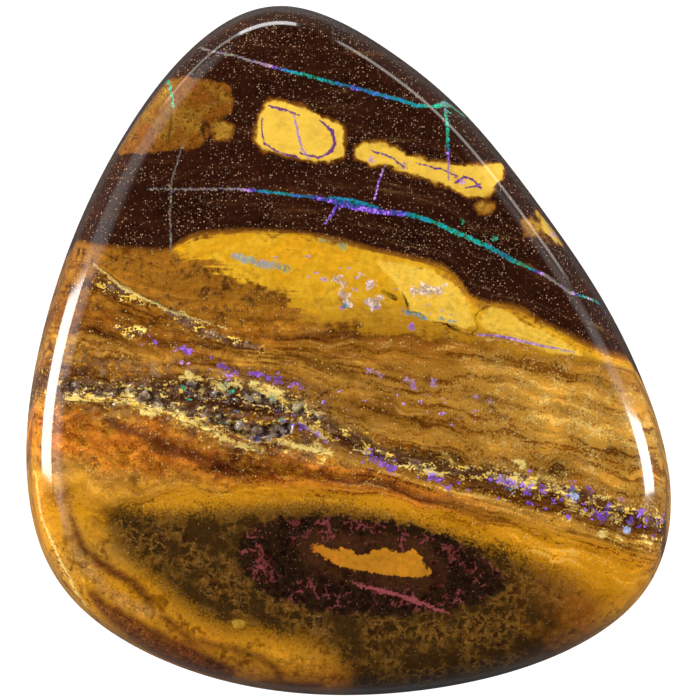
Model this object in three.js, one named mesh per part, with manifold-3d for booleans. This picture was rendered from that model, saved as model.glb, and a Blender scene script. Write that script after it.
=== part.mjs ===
// A polished freeform ironstone with opal seams, one solid stone.
// Millimetres, +Z up. The flat back rests on z = 0, and the origin is under the middle of the stone's box.
// +Y is the stone's long way, from the broad amber end to the narrow dark end.

import * as THREE from 'three';
import { mergeVertices } from 'three/addons/utils/BufferGeometryUtils.js';
import Module from 'manifold-3d';

// Driving dimensions

const THICKNESS = 7.0;           // flat back to the top of the dome
const DOME_RISE = 1.1;           // from the shoulder's inner edge to the top of the dome
const DOME_EDGE_TILT = 9;        // degrees, where the dome turns into the shoulder
const SHOULDER_RADIUS = 1.9;     // the rounded edge round the face
const WALL_LEAN = 6;             // degrees, the side wall leans in towards the face
const GIRDLE_HEIGHT = 1.5;       // where the stone is widest
const BACK_INSET = 1.2;          // the flat back's edge, in from the widest line
const MEAN_RADIUS = 16;          // of the round pebble that the outline is laid on

// The outline at the widest line, seen from above, from the narrow end round by the left side.
const OUTLINE = [
  [-3.0, 17.0], [-7.65, 15.0], [-11.1, 10.6], [-13.6, 5.55], [-15.25, 0.2],
  [-15.9, -5.15], [-14.95, -10.25], [-11.7, -13.9], [-6.5, -16.2], [-0.65, -17.0],
  [5.3, -16.5], [10.8, -14.8], [14.8, -11.6], [15.9, -6.9], [14.7, -1.95],
  [12.5, 2.6], [9.65, 6.85], [6.25, 11.15], [2.3, 14.6],
];

// How finely the surface is divided
const SECTORS = 96;
const SHOULDER_STEPS = 7;
const DOME_STEPS = 7;
const LOWER_EDGE_STEPS = 4;
const BLOB_COLUMNS = 14;
const BLOB_ROWS = 8;

// Open cavities across the left half of the face: middle x and y, half length, half width, depth, turn in degrees.
const PITS = [
  [-13.45, -1.8, 0.75, 0.42, 0.32, -5],
  [-12.2, -2.0, 0.8, 0.3, 0.28, -8],
  [-11.0, -2.05, 0.7, 0.34, 0.3, 5],
  [-9.85, -2.3, 0.8, 0.42, 0.45, -22],
  [-8.8, -2.75, 0.65, 0.34, 0.36, -28],
  [-7.6, -3.05, 0.75, 0.28, 0.28, -12],
  [-6.3, -3.4, 0.75, 0.38, 0.42, -20],
  [-5.3, -3.8, 0.7, 0.46, 0.55, -24],
  [-4.35, -4.05, 0.8, 0.45, 0.6, -4],
  [-3.35, -3.9, 0.65, 0.4, 0.5, 12],
  [-7.1, -2.05, 0.7, 0.36, 0.34, -18],
  [-6.0, -2.3, 0.55, 0.28, 0.26, -10],
  [-4.55, -2.35, 0.75, 0.38, 0.38, -14],
  [-3.6, -2.6, 0.55, 0.34, 0.36, -20],
  [-2.5, -2.85, 0.6, 0.38, 0.36, -18],
  [-1.5, -3.15, 0.5, 0.28, 0.26, -16],
];

// Rounded lumps of opal that stand in the cavities: middle x and y, radius, and how far their tops stay below the face.
const LUMPS = [
  [-9.95, -2.2, 0.3, 0.1],
  [-5.3, -3.7, 0.3, 0.12],
  [-4.5, -3.85, 0.3, 0.14],
  [-3.5, -3.8, 0.28, 0.1],
  [-4.55, -2.3, 0.26, 0.08],
  [-2.55, -2.8, 0.3, 0.08],
];

const radians = THREE.MathUtils.degToRad;

// A closed smooth curve through its points, with curvature that never jumps.
class SmoothLoop extends THREE.Curve {
  constructor(points) {
    super();
    this.count = points.length;
    this.controls = points.map(([x, y]) => new THREE.Vector2(x, y));
    const rounds = 40;
    for (let round = 0; round < rounds; round++) {
      this.controls = points.map(([x, y], i) => new THREE.Vector2(x, y)
        .multiplyScalar(6)
        .sub(this.control(i - 1))
        .sub(this.control(i + 1))
        .divideScalar(4));
    }
  }

  control(i) {
    return this.controls[(i + this.count) % this.count];
  }

  getPoint(share, target = new THREE.Vector2()) {
    const along = (share % 1) * this.count;
    const i = Math.floor(along);
    const t = along - i;
    const weights = [(1 - t) ** 3, 3 * t ** 3 - 6 * t ** 2 + 4, -3 * t ** 3 + 3 * t ** 2 + 3 * t + 1, t ** 3];
    target.set(0, 0);
    weights.forEach((weight, k) => target.addScaledVector(this.control(i + k - 1), weight / 6));
    return target;
  }
}

// The stone's section, from the middle of the back round the edge to the top of the dome.
const shoulderHeight = THICKNESS - DOME_RISE;
const wallTilt = 90 - WALL_LEAN;
const shoulderTop = new THREE.Vector2(Math.sin(radians(DOME_EDGE_TILT)), Math.cos(radians(DOME_EDGE_TILT)));
const wallTop = new THREE.Vector2(Math.sin(radians(wallTilt)), Math.cos(radians(wallTilt)));
const shoulderWidth = SHOULDER_RADIUS * (wallTop.x - shoulderTop.x);
const wallHeight = shoulderHeight - SHOULDER_RADIUS * (shoulderTop.y - wallTop.y) - GIRDLE_HEIGHT;
const wallInset = wallHeight * Math.tan(radians(WALL_LEAN));
const domeRadius = MEAN_RADIUS - wallInset - shoulderWidth;
const backRadius = MEAN_RADIUS - BACK_INSET;

function section() {
  const points = [new THREE.Vector2(0, 0)];
  for (let i = 0; i <= LOWER_EDGE_STEPS; i++) {
    const turn = (i / LOWER_EDGE_STEPS) * Math.PI / 2;
    points.push(new THREE.Vector2(backRadius + BACK_INSET * Math.sin(turn), GIRDLE_HEIGHT * (1 - Math.cos(turn))));
  }
  points.push(new THREE.Vector2(MEAN_RADIUS - wallInset / 2, GIRDLE_HEIGHT + wallHeight / 2));
  for (let i = 0; i <= SHOULDER_STEPS; i++) {
    const tilt = radians(wallTilt + (DOME_EDGE_TILT - wallTilt) * (i / SHOULDER_STEPS));
    points.push(new THREE.Vector2(
      domeRadius + SHOULDER_RADIUS * (Math.sin(tilt) - shoulderTop.x),
      shoulderHeight + SHOULDER_RADIUS * (Math.cos(tilt) - shoulderTop.y),
    ));
  }
  for (let i = DOME_STEPS - 1; i >= 0; i--) {
    const share = i / DOME_STEPS;
    points.push(new THREE.Vector2(domeRadius * share, THICKNESS - DOME_RISE * share ** 2));
  }
  return points;
}

// Moves a point of the round pebble out to the stone's own outline. Near the rim it keeps its
// distance from the edge, and further in it keeps its share of the way to the middle.
function onOutline(outline, x, y, z) {
  const radius = Math.hypot(x, y);
  const share = (Math.atan2(y, x) / (2 * Math.PI) + 1) % 1;
  const innerRadius = z < GIRDLE_HEIGHT ? backRadius : domeRadius;
  const inset = MEAN_RADIUS - Math.max(radius, innerRadius);
  const reach = Math.min(radius / innerRadius, 1);
  const edge = outline.getPoint(share);
  const along = outline.getTangent(share);
  return new THREE.Vector3((edge.x - along.y * inset) * reach, (edge.y + along.x * inset) * reach, z);
}

function polishedBlank() {
  const outline = new SmoothLoop(OUTLINE);
  const blank = new THREE.LatheGeometry(section(), SECTORS);
  blank.rotateX(Math.PI / 2);
  const position = blank.getAttribute('position');
  for (let i = 0; i < position.count; i++) {
    const moved = onOutline(outline, position.getX(i), position.getY(i), position.getZ(i));
    position.setXYZ(i, moved.x, moved.y, moved.z);
  }
  return blank;
}

// Height of the polished face above a point of the back.
function faceFinder(blank) {
  const solid = new THREE.Mesh(blank, new THREE.MeshBasicMaterial({ side: THREE.DoubleSide }));
  const down = new THREE.Vector3(0, 0, -1);
  const caster = new THREE.Raycaster();
  return (x, y) => {
    caster.set(new THREE.Vector3(x, y, THICKNESS * 2), down);
    return caster.intersectObject(solid)[0].point.z;
  };
}

function pit(face, [x, y, halfLength, halfWidth, depth, turn]) {
  const blob = new THREE.SphereGeometry(1, BLOB_COLUMNS, BLOB_ROWS);
  blob.scale(halfLength, halfWidth, depth);
  blob.rotateZ(radians(turn));
  blob.translate(x, y, face(x, y));
  return blob;
}

function lump(face, [x, y, radius, below]) {
  const blob = new THREE.SphereGeometry(radius, BLOB_COLUMNS, BLOB_ROWS);
  blob.translate(x, y, face(x, y) - radius - below);
  return blob;
}

// Solid joins and cuts

const wasm = await Module();
wasm.setup();

function solidOf(geometry) {
  const bare = geometry.clone();
  bare.deleteAttribute('normal');
  bare.deleteAttribute('uv');
  const merged = mergeVertices(bare, 1e-5);
  return new wasm.Manifold(new wasm.Mesh({
    numProp: 3,
    vertProperties: new Float32Array(merged.getAttribute('position').array),
    triVerts: new Uint32Array(merged.getIndex().array),
  }));
}

function geometryOf(solid) {
  const mesh = solid.getMesh();
  const geometry = new THREE.BufferGeometry();
  geometry.setAttribute('position', new THREE.BufferAttribute(mesh.vertProperties, 3));
  geometry.setIndex(new THREE.BufferAttribute(mesh.triVerts, 1));
  geometry.computeVertexNormals();
  return geometry;
}

function stoneGeometry() {
  const blank = polishedBlank();
  const face = faceFinder(blank);
  let stone = solidOf(blank);
  for (const place of PITS) stone = stone.subtract(solidOf(pit(face, place)));
  for (const place of LUMPS) stone = stone.add(solidOf(lump(face, place)));
  const geometry = geometryOf(stone);
  geometry.computeBoundingBox();
  const middle = geometry.boundingBox.getCenter(new THREE.Vector3());
  geometry.translate(-middle.x, -middle.y, 0);
  return geometry;
}

const ironstone = new THREE.MeshStandardMaterial({ color: 0x7a4a14, roughness: 0.2, metalness: 0 });

const stone = new THREE.Mesh(stoneGeometry(), ironstone);
stone.name = 'polished_ironstone';

const part = new THREE.Group();
part.add(stone);

export default part;
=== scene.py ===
# A polished ironstone with opal seams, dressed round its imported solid, and the white studio it lies in.

import math
import random

import bmesh
import bpy
import numpy as np
from bpy.props import FloatProperty, FloatVectorProperty, IntProperty, PointerProperty
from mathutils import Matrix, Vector, noise


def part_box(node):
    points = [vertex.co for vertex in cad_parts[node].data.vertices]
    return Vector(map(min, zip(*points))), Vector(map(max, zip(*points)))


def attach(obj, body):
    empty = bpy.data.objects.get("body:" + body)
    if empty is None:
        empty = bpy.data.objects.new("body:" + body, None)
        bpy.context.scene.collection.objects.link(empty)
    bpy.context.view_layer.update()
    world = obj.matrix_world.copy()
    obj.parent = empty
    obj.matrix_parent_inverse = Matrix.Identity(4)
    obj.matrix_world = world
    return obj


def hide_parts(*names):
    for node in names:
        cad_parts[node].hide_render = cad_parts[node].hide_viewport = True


bl_info = {
    "name": "Polished ironstone",
    "version": (1, 0, 0),
    "blender": (4, 5, 0),
    "location": "View3D > Sidebar > Ironstone",
    "description": "Dresses a polished ironstone with its bands, opal seams and open cavities",
    "category": "Add Mesh",
}

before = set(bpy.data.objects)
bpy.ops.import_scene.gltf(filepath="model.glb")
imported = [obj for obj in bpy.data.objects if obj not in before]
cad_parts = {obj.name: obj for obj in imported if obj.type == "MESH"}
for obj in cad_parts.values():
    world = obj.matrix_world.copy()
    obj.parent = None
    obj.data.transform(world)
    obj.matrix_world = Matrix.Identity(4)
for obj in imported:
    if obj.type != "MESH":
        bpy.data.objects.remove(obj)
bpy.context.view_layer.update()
NODE = "polished_ironstone"

MM = 0.001
LENGTH_MM = 34.0
LENGTH_PIXELS = 689
PIXEL = LENGTH_MM * MM / LENGTH_PIXELS  # one pixel of the photograph, measured on the stone
PHOTO_SIDE = 700  # pixels along each side of the photograph
MIDDLE_PIXEL = (348.6, 350.5)  # the pixel under which the stone's origin lies

# The stone's own sizes, as its solid has them

# The outline at the widest line in millimetres, from the narrow end round by the left side.
OUTLINE = [
    (-3.0, 17.0), (-7.65, 15.0), (-11.1, 10.6), (-13.6, 5.55), (-15.25, 0.2),
    (-15.9, -5.15), (-14.95, -10.25), (-11.7, -13.9), (-6.5, -16.2), (-0.65, -17.0),
    (5.3, -16.5), (10.8, -14.8), (14.8, -11.6), (15.9, -6.9), (14.7, -1.95),
    (12.5, 2.6), (9.65, 6.85), (6.25, 11.15), (2.3, 14.6),
]

# Open cavities: middle x and y, half length, half width and depth in millimetres, turn in degrees.
CAVITIES = [
    (-13.45, -1.8, 0.75, 0.42, 0.32, -5),
    (-12.2, -2.0, 0.8, 0.3, 0.28, -8),
    (-11.0, -2.05, 0.7, 0.34, 0.3, 5),
    (-9.85, -2.3, 0.8, 0.42, 0.45, -22),
    (-8.8, -2.75, 0.65, 0.34, 0.36, -28),
    (-7.6, -3.05, 0.75, 0.28, 0.28, -12),
    (-6.3, -3.4, 0.75, 0.38, 0.42, -20),
    (-5.3, -3.8, 0.7, 0.46, 0.55, -24),
    (-4.35, -4.05, 0.8, 0.45, 0.6, -4),
    (-3.35, -3.9, 0.65, 0.4, 0.5, 12),
    (-7.1, -2.05, 0.7, 0.36, 0.34, -18),
    (-6.0, -2.3, 0.55, 0.28, 0.26, -10),
    (-4.55, -2.35, 0.75, 0.38, 0.38, -14),
    (-3.6, -2.6, 0.55, 0.34, 0.36, -20),
    (-2.5, -2.85, 0.6, 0.38, 0.36, -18),
    (-1.5, -3.15, 0.5, 0.28, 0.26, -16),
]

# Lumps of opal in the cavities, in millimetres: middle x and y, radius, and depth of the top below the face.
LUMPS = [
    (-9.95, -2.2, 0.3, 0.1),
    (-5.3, -3.7, 0.3, 0.12),
    (-4.5, -3.85, 0.3, 0.14),
    (-3.5, -3.8, 0.28, 0.1),
    (-4.55, -2.3, 0.26, 0.08),
    (-2.55, -2.8, 0.3, 0.08),
]

# Where the beds meet, as lines of pixels across the photograph, from the narrow end down.
BED_FEET = [
    [(0, 246), (75, 243), (90, 247), (130, 251), (172, 251), (190, 240), (225, 234), (270, 234), (310, 237),
     (345, 244), (370, 251), (400, 258), (430, 265), (448, 273), (460, 285), (468, 297), (482, 305),
     (500, 308), (520, 312), (540, 325), (560, 335), (585, 347), (610, 358), (635, 363), (700, 380)],
    [(0, 255), (60, 262), (97, 268), (128, 290), (170, 310), (225, 328), (300, 334), (400, 328), (455, 333),
     (500, 340), (530, 345), (570, 354), (640, 376), (700, 394)],
    [(0, 372), (40, 376), (72, 384), (150, 384), (215, 380), (262, 387), (300, 398), (330, 420), (400, 449),
     (480, 470), (560, 490), (640, 512), (700, 530)],
    [(0, 394), (40, 397), (72, 402), (115, 404), (150, 412), (190, 426), (235, 446), (300, 455), (330, 463),
     (400, 481), (480, 501), (560, 522), (640, 545), (700, 560)],
    [(0, 455), (40, 458), (100, 477), (200, 482), (260, 485), (350, 489), (420, 504), (500, 524),
     (560, 539), (620, 556), (700, 575)],
    [(0, 560), (60, 545), (130, 528), (200, 511), (260, 511), (350, 513), (420, 529), (500, 556),
     (560, 577), (620, 602), (700, 640)],
]
CORE_FEET = [241, 334, 420, 463, 488, 512]  # the same lines where the middle core crosses them

# Colours down three cores through the beds: pixels down the middle core, and the colour's name.
CORES = {
    "left": [
        (0, "dark_rock"), (236, "dark_rock"), (239, "margin"), (242, "ochre"), (292, "ochre"),
        (314, "lamina"), (352, "lamina"), (374, "lamina_dark"), (394, "sand_gold"), (410, "lamina"),
        (424, "grain_brown"), (442, "grain_brown"), (456, "sand_gold"), (463, "sand_gold"), (469, "rust"),
        (480, "rust"), (488, "sand_gold"), (500, "amber"), (530, "sand_gold"), (570, "amber"),
        (620, "amber_brown"), (655, "rust"), (682, "maroon"),
    ],
    "middle": [
        (0, "dark_rock"), (236, "dark_rock"), (239, "margin"), (242, "ochre"), (296, "ochre"),
        (306, "lamina"), (318, "ochre"), (330, "lamina"), (338, "lamina_dark"), (352, "lamina"),
        (380, "sand_gold"), (396, "lamina"), (412, "sand_gold"), (424, "grain_brown"), (440, "lamina_dark"),
        (456, "sand_gold"), (464, "rust"), (478, "maroon"), (486, "rust"), (494, "amber"), (504, "amber"),
        (512, "amber_brown"), (540, "amber_brown"), (620, "amber"), (660, "amber_brown"), (690, "rust"),
    ],
    "right": [
        (0, "dark_rock"), (235, "dark_rock"), (239, "margin"), (243, "amber_brown"), (262, "amber_brown"),
        (282, "gold"), (310, "sand_gold"), (334, "lamina"), (352, "sand_gold"), (396, "sand_gold"),
        (416, "lamina"), (428, "grain_brown"), (446, "lamina_dark"), (460, "sand_gold"),
        (476, "amber_brown"), (488, "amber"), (503, "amber"), (512, "amber"), (540, "amber_brown"),
        (600, "amber_brown"), (640, "rust"), (690, "grain_brown"),
    ],
}

# Closed shapes on the face, in pixels.
HALO = [
    (84, 508), (120, 505), (160, 511), (210, 511), (281, 504), (317, 502), (350, 507), (388, 515),
    (431, 528), (480, 542), (530, 558), (575, 580), (600, 600), (592, 640), (545, 670), (470, 697),
    (400, 715), (352, 705), (350, 675), (335, 654), (310, 640), (263, 629), (231, 625), (205, 615),
    (182, 600), (165, 586), (150, 575), (135, 560), (115, 545), (104, 528),
]
EYE = [
    (236, 552), (246, 528), (280, 517), (330, 514), (380, 518), (430, 530), (470, 545), (502, 568),
    (504, 588), (478, 600), (440, 610), (390, 613), (340, 612), (300, 605), (266, 592), (246, 574),
]
GLOW = [
    (176, 247), (190, 240), (215, 237), (270, 236), (312, 239), (345, 246), (370, 252), (400, 259),
    (430, 266), (450, 276), (464, 290), (474, 304), (500, 309), (540, 327), (585, 349), (604, 361),
    (575, 359), (520, 349), (480, 340), (440, 335), (400, 333), (360, 328), (328, 323), (306, 318),
    (293, 306), (288, 288), (262, 284), (243, 281), (232, 270), (212, 262), (188, 258),
]
HEART = [
    (310, 544), (318, 541), (327, 544), (336, 548), (346, 545), (354, 548), (360, 553), (370, 549),
    (388, 547), (402, 550), (412, 548), (419, 553), (423, 561), (432, 567), (433, 574), (422, 577),
    (409, 576), (388, 575), (370, 573), (352, 569), (342, 566), (331, 562), (320, 556), (312, 551),
]

# Windows of yellow ironstone in the dark rock: how bright, and the shape in pixels.
WINDOWS = [
    (0.08, [(150, 96), (165, 84), (182, 81), (205, 83), (224, 87), (230, 99), (231, 114), (216, 118),
            (203, 122), (207, 136), (200, 146), (150, 152), (104, 151), (128, 122)]),
    (0.25, [(213, 125), (224, 122), (233, 128), (230, 138), (217, 140)]),
    (1, [(270, 103), (293, 106), (320, 116), (343, 128), (344, 155), (334, 163), (300, 160), (262, 150),
         (255, 139), (262, 115)]),
    (0.9, [(355, 150), (361, 145), (380, 144), (395, 150), (410, 157), (430, 163), (450, 165), (480, 168),
           (507, 162), (500, 180), (492, 192), (480, 198), (467, 196), (450, 188), (430, 181), (410, 175),
           (390, 167), (370, 166), (357, 159)]),
    (0.3, [(473, 206), (482, 202), (491, 206), (488, 213), (478, 213)]),
    (0.55, [(231, 620), (240, 617), (248, 620), (244, 626), (234, 626)]),
    (0.6, [(536, 212), (545, 206), (556, 216), (570, 236), (566, 246), (553, 243), (545, 238), (538, 226)]),
    (0.25, [(523, 222), (531, 219), (537, 226), (535, 235), (527, 234)]),
    (1, [(376, 262), (400, 264), (428, 270), (446, 280), (460, 292), (466, 303), (472, 316), (474, 325),
         (462, 329), (440, 322), (424, 318), (411, 314), (405, 302), (398, 290), (388, 276)]),
    (0.9, [(480, 314), (490, 308), (502, 311), (514, 317), (532, 327), (550, 336), (568, 346), (584, 356),
           (566, 356), (540, 349), (515, 341), (496, 335), (482, 327)]),
]

# Opal, as strokes of (pixel x, pixel y, half width in pixels, tone). The tones run
# 0 grey, 1 lilac, 2 violet, 3 blue, 4 cyan, 5 green, 6 grey green, 7 icy white, 8 pale rose.
OPAL_SEAMS = [
    [(197, 47, 1, 0), (215, 54, 1.3, 0), (232, 56, 1.3, 0), (250, 62, 1.6, 0.5), (268, 67, 1.6, 1),
     (290, 73, 1.5, 4.6), (305, 77, 2, 5), (325, 82, 1.8, 4.6), (340, 86, 2, 3.6), (350, 88, 1.6, 3.2),
     (375, 95, 2.2, 3.8), (400, 101, 2.3, 4), (415, 107, 2.3, 4.4), (432, 108, 1.8, 5), (442, 105, 4, 6),
     (452, 104, 6, 6), (462, 104, 5, 5.6)],
    [(445, 112, 2, 6), (447, 128, 2, 5), (447, 140, 2.2, 5.2), (448, 160, 1.4, 1), (448, 178, 1.2, 0.6)],
    [(152, 190, 0.8, 0), (175, 190, 1, 0), (200, 190, 1.2, 0), (240, 190, 1.5, 0.4), (262, 192, 1.6, 4),
     (280, 194, 1.6, 4.4), (300, 197, 1.8, 3.6), (315, 198, 2, 2.8), (335, 203, 3.2, 2.4),
     (350, 207, 3.4, 2.6), (365, 210, 3.2, 2.2), (380, 213, 3.2, 2.2), (400, 214, 3, 2.6),
     (412, 216, 3, 4.2), (430, 222, 2.6, 4.6), (445, 228, 2.6, 4.8), (475, 242, 2.8, 5),
     (492, 250, 2.6, 4.4), (505, 257, 2.8, 3.4), (515, 263, 3.2, 5), (525, 267, 2, 5.2),
     (545, 276, 1.6, 0.4), (568, 292, 1.4, 0), (588, 299, 1.2, 7), (612, 309, 1.1, 0)],
    [(330, 198, 1.2, 4), (350, 201, 2, 4.2), (365, 205, 2, 4), (378, 209, 1.5, 3.6)],
    [(337, 203, 1.4, 2.2), (334, 213, 1.6, 2), (327, 222, 1.2, 1.6)],
    [(168, 80, 1.4, 5.4), (172, 92, 1.4, 5.2), (174, 105, 1.2, 6)],
    [(182, 150, 0.8, 0), (178, 165, 0.8, 0), (173, 180, 0.8, 0), (171, 215, 0.8, 0), (172, 250, 0.8, 0.3)],
    [(383, 170, 0.8, 1.4), (378, 185, 0.8, 2), (375, 198, 1, 2)],
    [(295, 120, 1.2, 1), (298, 133, 1.6, 1.3), (302, 150, 1.5, 1.2), (307, 157, 1.2, 1)],
    [(480, 335, 1, 1.4), (505, 337, 1.5, 1.6), (530, 343, 1.4, 1.4), (570, 352, 1, 1)],
]
OPAL_FLECKS = [
    [(547, 219, 4, 4.6), (550, 226, 3.5, 5)], [(553, 236, 3, 1)], [(559, 238, 3, 5)], [(406, 165, 2.5, 3)],
    [(370, 162, 2, 1)], [(462, 182, 1.6, 1.6)], [(475, 184, 1.6, 1.6)], [(462, 222, 1.6, 5)],
    [(493, 239, 1.8, 5)], [(234, 256, 3, 6.3), (246, 260, 3.4, 6.3), (255, 262, 2.4, 6.2)],
    [(258, 264, 2.4, 6.2), (272, 266, 3.2, 6.3), (288, 269, 2, 5.8)],
    [(322, 241, 1.8, 6), (334, 243, 2.6, 6), (344, 247, 1.8, 6)], [(336, 279, 2.6, 8), (344, 284, 3.2, 8)],
    [(361, 274, 2.4, 8)], [(344, 294, 4, 8), (347, 303, 4.4, 8), (342, 309, 2, 1)],
    [(367, 302, 3, 8), (374, 303, 5.6, 8), (380, 300, 3, 8)], [(371, 285, 3.6, 8)],
    [(374, 306, 2.4, 1), (379, 310, 2, 1)],
    [(414, 292, 4, 8), (424, 289, 4.6, 8), (436, 292, 3.6, 8), (444, 287, 2.6, 8)],
    [(403, 311, 1.5, 3.6), (413, 314, 2, 4), (424, 318, 1.5, 4)],
    [(441, 319, 1.5, 4), (454, 322, 1.6, 3.6)], [(412, 327, 3, 2)], [(159, 303, 2, 5)],
    [(178, 347, 1.6, 2), (190, 352, 2.4, 2)], [(212, 357, 1.4, 2)],
    [(150, 338, 1.6, 1.8), (158, 343, 1.6, 2)], [(222, 366, 1.4, 2), (236, 372, 1.8, 2)],
    [(250, 372, 1.4, 2), (261, 375, 1.6, 2)], [(268, 377, 1.6, 2), (280, 380, 1.8, 2)],
    [(294, 384, 1.6, 2), (304, 387, 1.8, 2)], [(368, 370, 1.6, 1), (380, 374, 1.8, 1)],
    [(405, 379, 1.8, 1), (413, 385, 2, 1.2)], [(433, 383, 2.4, 1)], [(476, 397, 2.2, 1)],
    [(489, 402, 1.8, 1)], [(185, 388, 2, 5)], [(222, 421, 2, 5)], [(233, 390, 2, 5)], [(193, 384, 2.4, 0)],
    [(158, 303, 1.6, 5)], [(190, 396, 2.4, 3)], [(226, 384, 2.4, 6)], [(282, 419, 2.6, 6)],
    [(258, 438, 2.4, 3)], [(273, 400, 2.4, 6)], [(246, 434, 2.6, 0)], [(300, 424, 2, 2), (308, 428, 2, 2)],
    [(318, 433, 2, 1.6)], [(372, 459, 3, 2), (382, 462, 3.4, 2)], [(390, 468, 3, 2)], [(366, 452, 1.6, 2)],
    [(430, 476, 2.6, 2), (440, 480, 3, 2.2)], [(448, 488, 3, 2)],
    [(500, 478, 3.2, 2), (512, 484, 3.6, 2.2)], [(524, 491, 3.6, 2)], [(510, 489, 2.6, 7)],
    [(528, 473, 2.4, 2)], [(540, 488, 3, 2)], [(572, 494, 3.6, 7)], [(570, 486, 3, 2)], [(588, 488, 3, 2)],
    [(592, 512, 3.6, 2), (600, 517, 3.8, 2.2)], [(606, 510, 3.4, 2)], [(620, 499, 2.4, 2)],
    [(625, 529, 3.4, 7)], [(629, 519, 2.8, 2)], [(640, 511, 3, 2)], [(646, 519, 2.4, 2)],
]

# Where loose flecks are thick: how thick, and a stroke as above.
FLECK_TRAILS = [
    (1, [(355, 452, 8, 1.9), (400, 467, 9, 2.1), (460, 482, 9, 2), (520, 492, 11, 2), (590, 508, 13, 2.1),
         (655, 525, 12, 2.1)]),
    (0.45, [(150, 352, 11, 1.2), (230, 372, 12, 1.6), (310, 390, 12, 1.6), (400, 402, 12, 1.4),
            (500, 420, 11, 1.2)]),
    (0.5, [(140, 392, 7, 5.4), (200, 395, 8, 5), (260, 415, 8, 3), (330, 435, 7, 1.6)]),
    (0.4, [(240, 262, 9, 0.6), (320, 268, 13, 1), (380, 300, 15, 0.8), (440, 306, 12, 0.6)]),
]

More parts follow.
